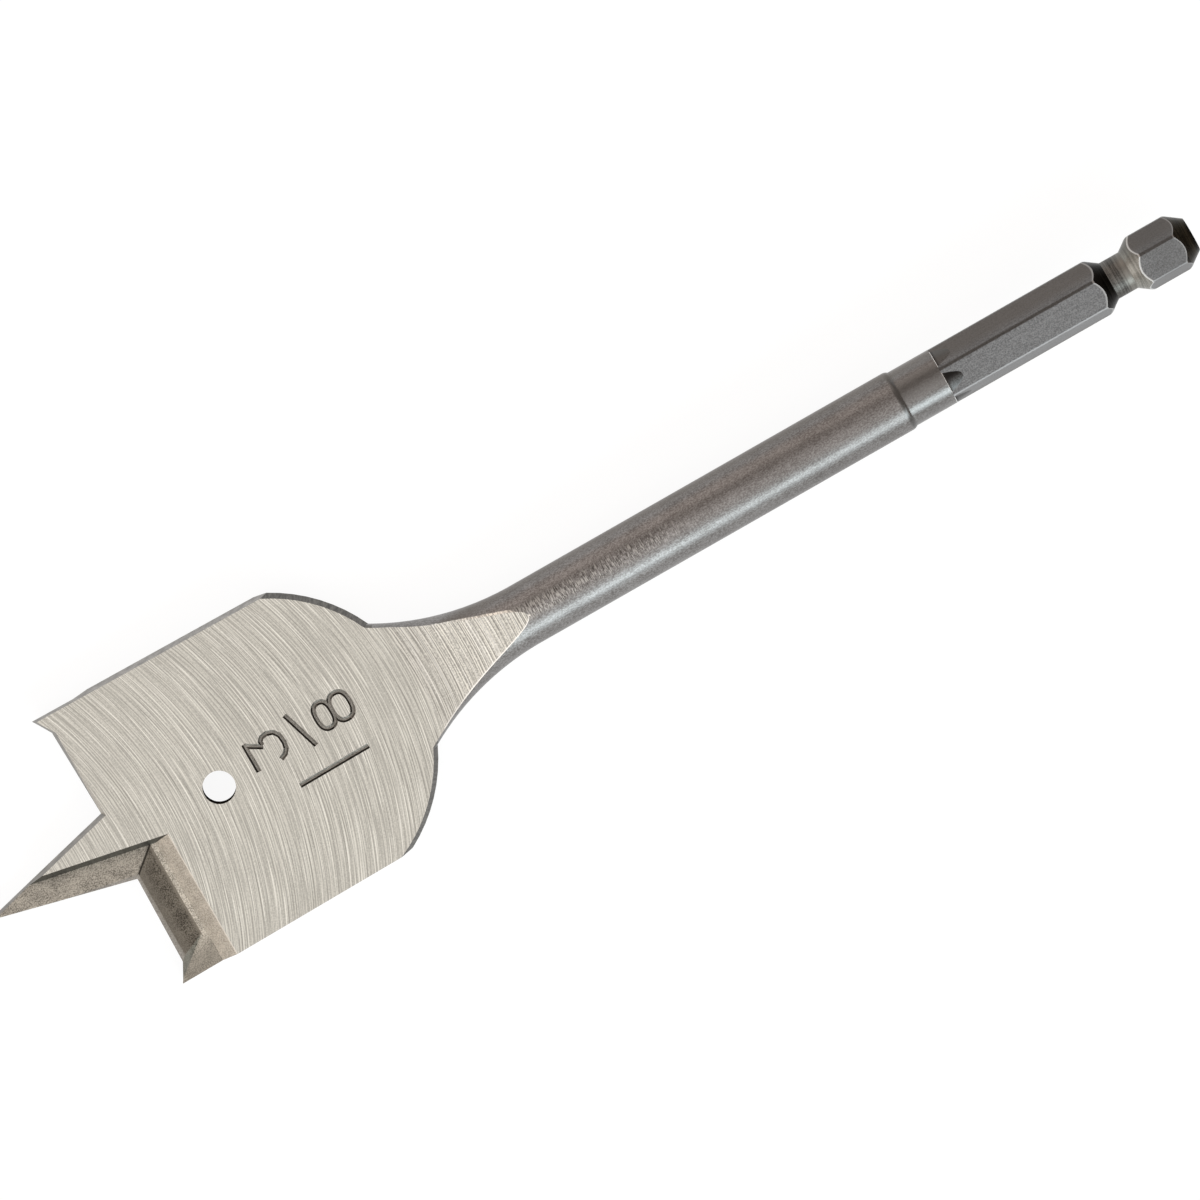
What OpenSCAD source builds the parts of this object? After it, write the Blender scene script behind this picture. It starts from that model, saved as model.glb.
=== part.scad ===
// Spade drill bit, forged in one piece from round bar.
// The drill axis is X: the shank end is at x = 0 and the tip points along -X.
// Z is square to the blade, and Y runs across it.
// The cutting end is the same on both faces, turned by half a turn about the drill axis.

/* [Blade] */
// Overall length, from the tip to the shank end
overall_length = 158.75; // [140:0.25:180]
// Cutting width across the two spurs
cutting_width = 34.925; // [30:0.005:40]
// Thickness between the two ground faces
blade_thickness = 3.2; // [2.6:0.1:4]
// Distance of the centre of the round shoulders behind the lips
shoulder_setback = 20.3; // [16:0.1:24]
// How far the shoulder circle stands wider than the sides
shoulder_bulge = 1.85; // [1.4:0.05:2.4]
// Draft of the forged shoulder edge, from mid thickness to each face
edge_draft = 0.55; // [0.2:0.05:0.8]
// Back taper of each side, in degrees
side_taper = 0.8; // [0:0.1:1.5]
// Relief of each side behind its leading edge, in degrees
side_relief = 5.7; // [2:0.1:9]
// Diameter of the hanging hole
hole_diameter = 3.88; // [3:0.02:5]
// Distance of the hole behind the lips
hole_setback = 13.6; // [11:0.1:17]
// Distance of the hole from the drill axis, across the blade
hole_offset = 0.3; // [0:0.05:0.6]

/* [Cutting end] */
// Length of the point ahead of the lips
point_length = 16.3; // [12:0.1:20]
// Width of the point where it meets the lips
point_width = 8.6; // [7:0.1:10]
// Width of the blunt tip
tip_width = 0.5; // [0.3:0.05:0.9]
// Relief of the point's flanks, in degrees
point_relief = 8; // [4:0.5:12]
// Forward slope of the lips towards the spurs, in degrees
lip_slope = 1.3; // [0:0.1:3]
// Relief of the lips and spurs, in degrees
lip_relief = 12; // [8:0.5:16]
// Height of the spurs ahead of the lips
spur_height = 1.45; // [1:0.05:2]
// Width of the spurs at their root
spur_width = 2.3; // [1.6:0.05:3]
// Radius in the corner between lip and spur
spur_fillet = 0.7; // [0.3:0.05:1]

/* [Coined recess] */
// Distance of the rear edge of the recess behind the lips
recess_length = 5.85; // [4.6:0.05:7]
// Depth of the recess below the ground face
recess_depth = 1.28; // [0.9:0.02:1.4]
// Length of the sloping facet at the rear of the recess
facet_length = 1.9; // [1.2:0.05:2.4]
// Width of the flat floor between the facet and the rake
floor_width = 0.6; // [0.3:0.05:0.9]
// Rake of the lips and of the point, in degrees
rake_angle = 14; // [8:0.5:18]
// Width of the flat land along each lip
lip_land = 0.5; // [0.2:0.05:0.8]
// Width of the flat pocket behind each spur
pocket_width = 4.0; // [3:0.1:5]
// Slope of the rake down to the spur's pocket, in degrees
pocket_slope = 40; // [25:1:55]
// Distance of the recess wall from the drill axis at its rear end
wall_offset = 1.43; // [1:0.05:2]
// Angle of the recess wall to the drill axis, in degrees
wall_angle = 11.2; // [8:0.2:13]
// Draft of the recess wall, in degrees
wall_draft = 27; // [15:1:35]

/* [Neck] */
// Distance of the neck's thin end behind the centre of the round shoulders
neck_setback = 33.85; // [31:0.05:37]
// Radius of the flare from the shank to the shoulders
flare_radius = 32.8; // [30:0.1:42]
// Length of the ground ramp from the blade face up to the top of the shank
ramp_length = 15; // [12:0.1:18]
// How far the ramp runs on past the neck's thin end
ramp_runout = 0.4; // [0.2:0.05:1]

/* [Shank] */
// Diameter of the round shank
shank_diameter = 7.45; // [6.8:0.05:8]
// Length from the shank end to the step of the collar
collar_reach = 38.3; // [36:0.1:42]
// Height of the step down to the collar
collar_step = 0.23; // [0.1:0.01:0.3]
// Length of the rounded step
step_length = 0.65; // [0.3:0.05:0.9]
// Length from the shank end to the seat where the hex starts
hex_reach = 32.9; // [30:0.1:35]
// Width of the hex across its flats
hex_width = 6.35; // [6:0.01:6.6]
// Radial rounding of the hex corners
hex_corner_cut = 0.1; // [0.05:0.01:0.2]
// Turn of a hex flat against the blade face, in degrees
hex_turn = 12; // [0:1:30]
// Drop from the collar to the cone that runs out on the flats
seat_drop = 0.06; // [0.03:0.01:0.1]
// Length of the cone that runs out on the flats
seat_cone = 2.7; // [1.6:0.1:3.4]
// Edge break at the end of the collar
seat_chamfer = 0.12; // [0.05:0.01:0.2]
// Length from the shank end to the near end of the groove's floor
groove_reach = 8.4; // [8:0.1:9.5]
// Length of the groove's floor
groove_length = 2.5; // [2:0.05:3]
// Depth of the groove below the flats
groove_depth = 0.82; // [0.6:0.02:1]
// Slope of the groove's walls, in degrees
groove_slope = 36; // [30:1:45]
// Slope of the end chamfer, in degrees
end_slope = 36; // [30:1:45]
// Length of the end chamfer on the hex corners
end_chamfer = 2.05; // [1.6:0.05:2.3]
// Radius between the end chamfer and the end face
end_radius = 0.8; // [0.4:0.05:1]

/* [Hidden] */
$fn = 96;

// Reach of the cutting blocks, well past anything that they cut
far = 60;

// Blade places
half_thickness = blade_thickness / 2;
half_width = cutting_width / 2;
tip_x = -overall_length;
lip_x = tip_x + point_length;
hole_x = lip_x + hole_setback;
shoulder_x = lip_x + shoulder_setback;
shoulder_radius = half_width + shoulder_bulge;
// Stock left for the grinding of the faces and sides
stock_margin = 0.9;
stock_rise = half_thickness + stock_margin;

// Recess places
floor_z = half_thickness - recess_depth;
recess_x = lip_x + recess_length;
rake_x = recess_x - facet_length - floor_width;
land_x = lip_x + lip_land;
land_z = floor_z + (rake_x - land_x) * tan(rake_angle);
wall_foot = recess_depth * tan(wall_draft);
facet_angle = atan(facet_length / recess_depth);
// Lets the point's rake meet the recess wall just above the floor
rake_lap = 0.08;

// Cutting edges of one half, seen on its leading face
half_point = point_width / 2;
half_tip = tip_width / 2;
point_angle = atan((half_point - half_tip) / point_length);
spur_root = [-(half_width - spur_width - half_point) * tan(lip_slope), spur_width - half_width];
spur_tip = [spur_root.x - spur_height, -half_width];
lip_inner = [half_point * tan(lip_slope), 0];
along_lip = (lip_inner - spur_root) / norm(lip_inner - spur_root);
along_spur = (spur_tip - spur_root) / norm(spur_tip - spur_root);
corner_angle = acos(along_lip * along_spur);
fillet_reach = spur_fillet / tan(corner_angle / 2);
fillet_ray = (along_lip + along_spur) / norm(along_lip + along_spur);
fillet_centre = spur_root + fillet_ray * spur_fillet / sin(corner_angle / 2);

// Neck places
shank_radius = shank_diameter / 2;
neck_x = shoulder_x + neck_setback;
flare_centre = flare_radius + shank_radius;
// Corner of neck and shoulder: where the flare circle meets the shoulder circle
centre_gap = norm([neck_x - shoulder_x, flare_centre]);
corner_base = (centre_gap ^ 2 + shoulder_radius ^ 2 - flare_radius ^ 2) / (2 * centre_gap);
corner_turn = atan2(flare_centre, neck_x - shoulder_x) - acos(corner_base / shoulder_radius);
corner_x = shoulder_x + shoulder_radius * cos(corner_turn);
corner_y = shoulder_radius * sin(corner_turn);
neck_lap = 2;
neck_height = shank_radius + stock_margin;
// Half width of the strip between the two rounded sides at the neck's thin end
neck_spine = 0.13;

// Ground ramp: its end just clears the top of the shank
ramp_clear = 0.02;
ramp_rise = shank_radius + ramp_clear - half_thickness;
ramp_end = neck_x + ramp_runout;
ramp_x = ramp_end - ramp_length;

// Shank radii
collar_radius = shank_radius - collar_step;
// Rounded step: an arc that leaves the round shank along it and ends on the collar
step_radius = (step_length ^ 2 + collar_step ^ 2) / (2 * collar_step);
step_angle = asin(step_length / step_radius);
step_cones = 5;
step_points = [
    for (i = [0 : step_cones])
        let (turn = step_angle * i / step_cones)
        [shank_radius - step_radius * (1 - cos(turn)), step_radius * sin(turn) - collar_reach - step_length]
];
hex_inner = hex_width / 2;
hex_outer = hex_inner / cos(30) - hex_corner_cut;
hex_length = hex_reach + seat_chamfer;
groove_radius = hex_inner - groove_depth;
groove_rise = (far - groove_radius) / tan(groove_slope);
end_corner_radius = hex_outer - end_chamfer * tan(end_slope);
end_round_reach = end_radius * tan((90 - end_slope) / 2);

// Everything on the -Y side of a plane that holds the X axis, turned about Z and leaned about X
module side_block(turn, lean) {
    rotate([0, 0, turn])
        rotate([lean, 0, 0])
            translate([-far, -2 * far, -far])
                cube(2 * far);
}

// Everything below a plane that holds the X axis, turned about Z and leaned about X
module under_block(turn, lean) {
    rotate([0, 0, turn])
        rotate([lean, 0, 0])
            translate([-far, -far, -2 * far])
                cube(2 * far);
}

// A shape and its copy after half a turn about the drill axis
module both_halves() {
    for (turn = [0, 180])
        rotate([turn, 0, 0])
            children();
}

// Blade stock: a parallel plate, and round shoulders with draft to both faces
module blade_stock() {
    stock_half = half_width + stock_margin;
    stock_draft = edge_draft * stock_rise / half_thickness;
    translate([tip_x, -stock_half, -stock_rise])
        cube([shoulder_x - tip_x, 2 * stock_half, 2 * stock_rise]);
    translate([shoulder_x, 0, 0])
        rotate_extrude()
            polygon([
                [0, -stock_rise],
                [shoulder_radius - stock_draft, -stock_rise],
                [shoulder_radius, 0],
                [shoulder_radius - stock_draft, stock_rise],
                [0, stock_rise]
            ]);
}

// Waste beside the neck: its rounded side has the section of the shank
module flare_waste() {
    rotate_extrude()
        difference() {
            translate([0, -far / 2])
                square([flare_centre - neck_spine, far]);
            translate([flare_centre, 0])
                circle(r = shank_radius);
        }
}

// Neck stock, flared from the round shank to the shoulders
module neck_stock() {
    neck_start = corner_x - neck_lap;
    neck_half = corner_y + neck_lap;
    difference() {
        translate([neck_start, -neck_half, -neck_height])
            cube([neck_x - neck_start, 2 * neck_half, 2 * neck_height]);
        for (side = [-1, 1])
            translate([neck_x, side * flare_centre, 0])
                flare_waste();
    }
}

// Waste above one ground face: flat over the blade, then a ramp up to the shank
module ground_waste() {
    front_x = tip_x - far;
    rotate([90, 0, 0])
        linear_extrude(2 * far, center = true)
            polygon([
                [front_x, half_thickness],
                [ramp_x, half_thickness],
                [ramp_end, half_thickness + ramp_rise],
                [ramp_end, far],
                [front_x, far]
            ]);
}

// Round shank with its rounded step, and the collar
module round_shank() {
    rotate([0, 90, 0])
        rotate_extrude()
            polygon(concat(
                [[0, neck_x - neck_lap], [shank_radius, neck_x - neck_lap]],
                step_points,
                [
                    [collar_radius, -hex_reach - seat_chamfer],
                    [collar_radius - seat_chamfer, -hex_reach],
                    [0, -hex_reach]
                ]
            ));
}

// Profile of the turned surfaces that cut the hex: corner rounding, groove and end chamfer
module hex_limits() {
    difference() {
        translate([0, -hex_length])
            square([hex_outer, hex_length]);
        translate([0, -groove_reach])
            polygon([
                [groove_radius, -groove_length],
                [far, -groove_length - groove_rise],
                [far, groove_rise],
                [groove_radius, 0]
            ]);
        end_waste();
    }
}

// Waste of the end chamfer, with the round edge of the end face
module end_waste() {
    round_y = end_corner_radius - end_round_reach;
    difference() {
        polygon([
            [round_y, 0],
            [round_y, -end_round_reach],
            [end_corner_radius, 0],
            [hex_outer, -end_chamfer],
            [far, -end_chamfer],
            [far, far],
            [round_y, far]
        ]);
        translate([round_y, -end_radius])
            circle(r = end_radius);
    }
}

// Hex shank with its detent groove, and the cone that runs out on its flats
module hex_shank() {
    rotate([0, 90, 0])
        intersection() {
            union() {
                translate([0, 0, -hex_length])
                    rotate([0, 0, hex_turn - 30])
                        cylinder(h = hex_length, r = hex_inner / cos(30), $fn = 6);
                translate([0, 0, -hex_length])
                    cylinder(h = seat_cone, r1 = collar_radius - seat_drop, r2 = hex_inner - seat_drop);
            }
            rotate_extrude()
                hex_limits();
        }
}

// Waste beside one side of the blade, with its back taper and relief
module side_waste() {
    translate([lip_x, -half_width, floor_z])
        side_block(side_taper, side_relief);
}

// Waste ahead of one lip, between the point and the spur
module lip_waste() {
    intersection() {
        translate([tip_x, -half_tip, half_thickness])
            side_block(-point_angle, point_relief);
        translate([lip_x, 0, half_thickness])
            rotate([0, -lip_relief, 0])
                linear_extrude(far, center = true)
                    lip_outline();
    }
}

// Outline of the gap ahead of one lip, foreshortened for the lean of its relief
module lip_outline() {
    beyond = spur_root + along_spur * 2 * norm(spur_tip - spur_root);
    lean = cos(lip_relief);
    front_x = -2 * point_length;
    difference() {
        polygon([
            [lean * lip_inner.x, lip_inner.y],
            [lean * spur_root.x, spur_root.y],
            [lean * beyond.x, beyond.y],
            [front_x, beyond.y],
            [front_x, lip_inner.y]
        ]);
        spur_corner(lean);
    }
}

// Material left in the rounded corner between lip and spur
module spur_corner(lean) {
    on_lip = spur_root + along_lip * fillet_reach;
    on_spur = spur_root + along_spur * fillet_reach;
    difference() {
        polygon([for (p = [spur_root, on_lip, fillet_centre, on_spur]) [lean * p.x, p.y]]);
        translate([lean * fillet_centre.x, fillet_centre.y])
            circle(r = spur_fillet);
    }
}

// Pocket of one coined recess: a flat floor, a drafted wall and a sloping rear facet
module recess_pocket() {
    intersection() {
        translate([recess_x - far, -far, floor_z])
            cube([far, 2 * far, far]);
        translate([recess_x, -wall_offset, half_thickness])
            side_block(-wall_angle, -wall_draft);
        translate([recess_x, 0, half_thickness])
            rotate([0, facet_angle, 0])
                translate([-2 * far, -far, -far])
                    cube(2 * far);
    }
}

// Raised rake in one recess, up to the edges of the lip, the point and the spur
module rake_wedge() {
    foot_run = rake_x - lip_x - spur_tip.x;
    foot_turn = atan2(pocket_width, foot_run);
    intersection() {
        rotate([90, 0, 0])
            linear_extrude(2 * far, center = true)
                polygon([
                    [rake_x, floor_z],
                    [land_x, land_z],
                    [land_x - far, land_z],
                    [land_x - far, -far],
                    [rake_x, -far]
                ]);
        translate([recess_x, -wall_offset, floor_z])
            rotate([0, 0, -wall_angle])
                translate([0, rake_lap - wall_foot, 0])
                    under_block(0, -rake_angle);
        translate([lip_x + spur_tip.x, spur_tip.y, floor_z])
            under_block(foot_turn, pocket_slope);
    }
}

// Waste of one coined recess
module recess_waste() {
    difference() {
        recess_pocket();
        rake_wedge();
    }
}

// Hanging hole through the blade
module hanging_hole() {
    translate([hole_x, hole_offset, -blade_thickness])
        cylinder(h = 2 * blade_thickness, d = hole_diameter);
}

// The whole bit
module spade_bit() {
    color([0.74, 0.72, 0.68])
        union() {
            difference() {
                union() {
                    blade_stock();
                    neck_stock();
                    round_shank();
                }
                both_halves() {
                    ground_waste();
                    side_waste();
                    lip_waste();
                    recess_waste();
                }
                hanging_hole();
            }
            hex_shank();
        }
}

spade_bit();
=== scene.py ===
"""Looks of a spade drill bit forged in one piece: ground blade, coined recesses, forged shank, hex end."""

import logging
import math
from abc import ABC, abstractmethod
from dataclasses import dataclass, field
from enum import Enum
from typing import Any, NamedTuple

import bmesh
import bpy
import numpy as np
from bpy.types import ID, Material, Mesh, NodeSocket as Socket, NodeTree, Object
from mathutils import Matrix, Vector


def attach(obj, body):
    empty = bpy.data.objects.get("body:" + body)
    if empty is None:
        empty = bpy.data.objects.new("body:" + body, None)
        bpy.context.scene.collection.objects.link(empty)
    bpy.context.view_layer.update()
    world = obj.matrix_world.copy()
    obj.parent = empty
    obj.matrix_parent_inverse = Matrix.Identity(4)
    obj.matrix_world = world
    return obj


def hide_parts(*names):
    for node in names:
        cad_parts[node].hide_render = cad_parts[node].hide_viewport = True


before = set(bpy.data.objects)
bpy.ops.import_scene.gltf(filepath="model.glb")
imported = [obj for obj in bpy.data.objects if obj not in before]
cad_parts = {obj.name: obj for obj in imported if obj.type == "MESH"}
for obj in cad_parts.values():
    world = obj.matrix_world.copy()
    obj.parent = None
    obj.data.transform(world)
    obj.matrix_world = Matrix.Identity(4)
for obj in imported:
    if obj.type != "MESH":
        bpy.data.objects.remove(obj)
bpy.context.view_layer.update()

MM = 0.001
WELD = 0.001 * MM
SLIVER = 0.0005 * MM
# Middle of a noise, level of a plain reflection, and the full core of a soft line as a share of its width
MIDDLE = 0.5
PLAIN_SPECULAR = 0.5
LINE_CORE = 0.2
LOG = logging.getLogger("spade_bit")
Color = tuple[float, float, float]
Place = tuple[float, float]
Limits = tuple[float, float]


class Region(Enum):
    """Areas of the bit with a finish of their own, in the order of the material slots; some are lit and
    shaded copies of one finish, with painted light and shade.

    The values are the names of the materials.
    """

    FACE = "ground_face"
    RAMP = "ground_ramp"
    FACET = "coined_facet"
    FLOOR = "coined_floor"
    RAKE = "coined_rake"
    POINT = "coined_point"
    LAND = "coined_land"
    WALL = "coined_wall"
    RIM = "forged_rim"
    SIDE = "ground_side"
    FLANK = "ground_flank"
    HOLE = "drilled_hole"
    NECK = "forged_neck"
    SHANK = "forged_shank"
    COLLAR = "forged_collar"
    HEX = "drawn_hex"
    TURNED = "turned_groove"
    SHADED = "shaded_wall"
    LIT = "lit_wall"
    CHAMFER = "shaded_chamfer"
    MARK = "engraved_mark"
    MARK_SHADED = "engraved_shaded_wall"
    MARK_LIT = "engraved_lit_wall"
    SEAT = "run_out_cone"
    BREAK = "edge_break"
    CORNER = "hex_corner"


@dataclass(frozen=True)
class BitSizes:
    """Sizes and places of the bit that the finishes follow, in millimetres."""

    half_thickness: float = 1.6
    lip_x: float = -142.45
    recess_x: float = -136.6
    floor_z: float = 0.32
    hole_x: float = -128.85
    hole_y: float = 0.3
    hole_radius: float = 1.94
    shoulder_x: float = -122.15
    shoulder_radius: float = 19.3125
    edge_draft: float = 0.55
    corner_x: float = -104.6
    ramp_x: float = -102.9
    ramp_slope: float = 0.143
    neck_x: float = -88.3
    flare_radius: float = 32.8
    shank_radius: float = 3.725
    collar_x: float = -38.95
    hex_x: float = -33.02
    hex_inner: float = 3.175
    hex_outer: float = 3.566
    end_chamfer_x: float = -2.2


def put(name: str, data: ID) -> Object:
    """Makes an object and puts it into the scene.

    Args:
        name: Name of the object.
        data: Its mesh, curve, lamp or camera.

    Returns:
        The object.
    """
    holder = bpy.data.objects.new(name, data)
    bpy.context.scene.collection.objects.link(holder)
    return holder


class NodeDesk:
    """A material's node tree, with short calls for the nodes that the finishes share."""

    def __init__(self, name: str) -> None:
        """Makes an empty material of that name, with object coordinates in millimetres.

        Args:
            name: Name of the material.
        """
        self.material = bpy.data.materials.new(name)
        self.material.use_nodes = True
        self.tree = self.material.node_tree
        self.tree.nodes.clear()
        self.shader = self.tree.nodes.new("ShaderNodeBsdfPrincipled")
        output = self.tree.nodes.new("ShaderNodeOutputMaterial")
        self.tree.links.new(self.shader.outputs["BSDF"], output.inputs["Surface"])
        coords = self.tree.nodes.new("ShaderNodeTexCoord")
        scale = self.tree.nodes.new("ShaderNodeVectorMath")
        scale.operation = "SCALE"
        scale.inputs["Scale"].default_value = 1.0 / MM
        self.tree.links.new(coords.outputs["Object"], scale.inputs[0])
        split = self.tree.nodes.new("ShaderNodeSeparateXYZ")
        self.tree.links.new(scale.outputs["Vector"], split.inputs["Vector"])
        self.x, self.y, self.z = (split.outputs[axis] for axis in "XYZ")

    def _feed(self, socket: Socket, value: Any) -> None:
        """Links a socket, or writes a constant into it.

        Args:
            socket: The socket that is fed.
            value: A socket or a constant.
        """
        if isinstance(value, Socket):
            self.tree.links.new(value, socket)
        else:
            socket.default_value = value

    def math(self, operation: str, a: Any, b: Any = 0.0, clamp: bool = False) -> Socket:
        """One math node.

        Args:
            operation: Blender's name of the operation.
            a: First value, a socket or a number.
            b: Second value.
            clamp: Whether the result is kept between 0 and 1.

        Returns:
            The node's result.
        """
        node = self.tree.nodes.new("ShaderNodeMath")
        node.operation = operation
        node.use_clamp = clamp
        self._feed(node.inputs[0], a)
        self._feed(node.inputs[1], b)
        return node.outputs["Value"]

    def join(self, x: Any, y: Any, z: Any = 0.0) -> Socket:
        """A vector of three values.

        Args:
            x: First value, a socket or a number.
            y: Second value.
            z: Third value.

        Returns:
            The vector.
        """
        node = self.tree.nodes.new("ShaderNodeCombineXYZ")
        for socket, value in zip(node.inputs, (x, y, z)):
            self._feed(socket, value)
        return node.outputs["Vector"]

    def scaled(self, along: float, around: float) -> Socket:
        """The place on the bit, with one scale along the drill axis and one square to it.

        Args:
            along: Scale along the axis.
            around: Scale square to the axis.

        Returns:
            The scaled place.
        """
        pairs = ((self.x, along), (self.y, around), (self.z, around))
        return self.join(*(self.math("MULTIPLY", place, scale) for place, scale in pairs))

    def plan(self, rows: "LineSet") -> Socket:
        """The place seen square to the blade, scaled for lines across the axis.

        Args:
            rows: Size of the lines.

        Returns:
            The scaled place.
        """
        x, y = self.math("MULTIPLY", self.x, rows.pitch), self.math("MULTIPLY", self.y, rows.drift)
        return self.join(x, y, rows.start)

    def front_y(self) -> Socket:
        """Place across the blade, with the back half turned to the front.

        Returns:
            The place, in millimetres.
        """
        return self.math("MULTIPLY", self.y, self.math("SIGN", self.z))

    def right_of(self, x: float, y: float, turn_deg: float) -> Socket:
        """Distance to the right of a straight line, seen square to the blade.

        Args:
            x: A place of the line along the drill axis.
            y: The same place across the blade.
            turn_deg: Direction of the line, in degrees.

        Returns:
            The distance, in millimetres.
        """
        turn = math.radians(turn_deg)
        right_x = self.math("MULTIPLY", self.math("SUBTRACT", self.x, x), math.sin(turn))
        right_y = self.math("MULTIPLY", self.math("SUBTRACT", self.front_y(), y), -math.cos(turn))
        return self.math("ADD", right_x, right_y)

    def sum(self, *parts: tuple[Socket, float]) -> Socket:
        """A sum of maps.

        Args:
            parts: Each map with its share.

        Returns:
            The sum.
        """
        total, *others = (self.math("MULTIPLY", part, share) for part, share in parts)
        for other in others:
            total = self.math("ADD", total, other)
        return total

    def line(self, color: Socket, gap: Socket, width: float, tone: Color, share: float) -> Socket:
        """A soft line over a colour.

        Args:
            color: What lies under the line.
            gap: Distance from the middle of the line.
            width: Distance at which the line ends.
            tone: Colour of the line.
            share: Strength of the line.

        Returns:
            The colour with the line on it.
        """
        return self.blend(self.span(gap, LINE_CORE * width, width, share, 0.0), color, tone)

    def noise(self, vector: Socket, detail: float = 2.0, rough: float = 0.5) -> Socket:
        """Smooth noise of unit cell at a vector that is already scaled.

        Args:
            vector: Where the noise is read.
            detail: Octaves of the noise.
            rough: Strength of each octave against the one before.

        Returns:
            The noise, about 0.5 in the middle.
        """
        node = self.tree.nodes.new("ShaderNodeTexNoise")
        node.inputs["Scale"].default_value = 1.0
        node.inputs["Detail"].default_value = detail
        node.inputs["Roughness"].default_value = rough
        self._feed(node.inputs["Vector"], vector)
        return node.outputs["Fac"]

    def span(
        self, value: Socket, low: float, high: float, to_low: float = 0.0, to_high: float = 1.0
    ) -> Socket:
        """A smooth step between two limits.

        Args:
            value: What is mapped.
            low: Value at which the step starts.
            high: Value at which the step ends.
            to_low: Result below the step.
            to_high: Result above the step.

        Returns:
            The mapped value.
        """
        node = self.tree.nodes.new("ShaderNodeMapRange")
        node.interpolation_type = "SMOOTHSTEP"
        limits = {"From Min": low, "From Max": high, "To Min": to_low, "To Max": to_high}
        for name, number in limits.items():
            node.inputs[name].default_value = number
        self._feed(node.inputs["Value"], value)
        return node.outputs["Result"]

    def blend(self, factor: Any, a: Any, b: Any) -> Socket:
        """A mix of two colours.

        Args:
            factor: Share of the second colour.
            a: First colour.
            b: Second colour.

        Returns:
            The mixed colour.
        """
        node = self.tree.nodes.new("ShaderNodeMix")
        node.data_type = "RGBA"
        sockets = [s for s in node.inputs if s.type == "RGBA"]
        self._feed(node.inputs["Factor"], factor)
        for socket, value in zip(sockets, (a, b)):
            self._feed(socket, (*value, 1.0) if isinstance(value, tuple) else value)
        return next(s for s in node.outputs if s.type == "RGBA")

    def bump(self, height: Socket, depth: float) -> None:
        """Adds relief to the shader.

        Args:
            height: Height map from 0 to 1.
            depth: Height of the relief, in millimetres.
        """
        node = self.tree.nodes.new("ShaderNodeBump")
        node.inputs["Strength"].default_value = 1.0
        node.inputs["Distance"].default_value = depth * MM
        self._feed(node.inputs["Height"], height)
        self._feed(self.shader.inputs["Normal"], node.outputs["Normal"])

    def finish(self, color: Any, roughness: Any, metallic: float) -> Material:
        """Feeds the shader.

        Args:
            color: Base colour, a socket or four numbers.
            roughness: Roughness, a socket or a number.
            metallic: Share of metal.

        Returns:
            The finished material.
        """
        self._feed(self.shader.inputs["Base Color"], color)
        self._feed(self.shader.inputs["Roughness"], roughness)
        self.shader.inputs["Metallic"].default_value = metallic
        self.shader.inputs["Specular IOR Level"].default_value = PLAIN_SPECULAR * metallic
        return self.material


class LineSet(NamedTuple):
    """Noise drawn out to lines: its cells for each millimetre across and along them, and its offset."""

    pitch: float
    drift: float
    start: float


class Trace(ABC):
    """A line or patch painted over a finish, most of them painted light or painted shade."""

    @abstractmethod
    def paint(self, desk: NodeDesk, color: Socket) -> Socket:
        """Draws the trace over a colour.

        Args:
            desk: The material's desk.
            color: What lies under the trace.

        Returns:
            The colour with the trace on it.
        """


@dataclass(frozen=True)
class EdgeTrace(Trace):
    """A soft straight line on one half of the bit, seen square to the blade.

    The other half has the same line, after half a turn about the drill axis.
    """

    x: float
    y: float
    turn_deg: float
    width: float
    color: Color
    share: float

    def paint(self, desk: NodeDesk, color: Socket) -> Socket:
        """Draws the line over a colour."""
        gap = desk.math("ABSOLUTE", desk.right_of(self.x, self.y, self.turn_deg))
        return desk.line(color, gap, self.width, self.color, self.share)


@dataclass(frozen=True)
class TurnedTrace(Trace):
    """A soft line where a turned cone cuts the hex, the same all around the drill axis."""

    x: float
    lean: float
    width: float
    color: Color
    share: float
    radius: float = 3.175

    def paint(self, desk: NodeDesk, color: Socket) -> Socket:
        """Draws the line over a colour."""
        squares = (desk.math("MULTIPLY", side, side) for side in (desk.y, desk.z))
        out = desk.math("SUBTRACT", desk.math("SQRT", desk.math("ADD", *squares)), self.radius)
        along = desk.math("SUBTRACT", desk.x, desk.math("MULTIPLY", out, self.lean))
        gap = desk.math("ABSOLUTE", desk.math("SUBTRACT", along, self.x))
        return desk.line(color, gap, self.width, self.color, self.share)


@dataclass(frozen=True)
class GroundTongue(Trace):
    """Upper side and end of the ground ramp, where the wheel ran out on top of the round shank.

    Each side is a place along the axis, a place across the blade and a direction in degrees. The ground
    skin lies to the right of it, seen square to the blade.
    """

    sides: tuple[tuple[float, float, float], ...] = (
        (-94.4, 3.24, -18.3), (-89.75, 1.7, -41.5), (-88.2, -0.1, 180.0),
    )
    # The painted ground skin is lighter than the ramp's own finish: painted light for the lit slope that
    # the round shank lacks there
    dark: Color = (0.45, 0.44, 0.405)
    light: Color = (0.96, 0.94, 0.87)
    ragged: float = 0.14
    tears: LineSet = LineSet(3.0, 3.0, 2.0)
    lines: LineSet = LineSet(6.0, 0.15, 5.0)
    edge: Limits = (-0.04, 0.06)
    contrast: Limits = (0.33, 0.67)

    def paint(self, desk: NodeDesk, color: Socket) -> Socket:
        """Lays the ground skin over a colour."""
        inside, *others = (desk.right_of(*side) for side in self.sides)
        for gap in others:
            inside = desk.math("MINIMUM", gap, inside)
        tear = desk.math("SUBTRACT", desk.noise(desk.plan(self.tears), 1.0), MIDDLE)
        inside = desk.math("ADD", inside, desk.math("MULTIPLY", tear, self.ragged))
        tone = desk.span(desk.noise(desk.plan(self.lines), 1.0), *self.contrast)
        return desk.blend(desk.span(inside, *self.edge), color, desk.blend(tone, self.dark, self.light))


class Skin(NamedTuple):
    """What a finish gives to the shader: colour, height of the relief, and a map for the roughness."""

    color: Socket
    height: Socket
    gloss: Socket


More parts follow.
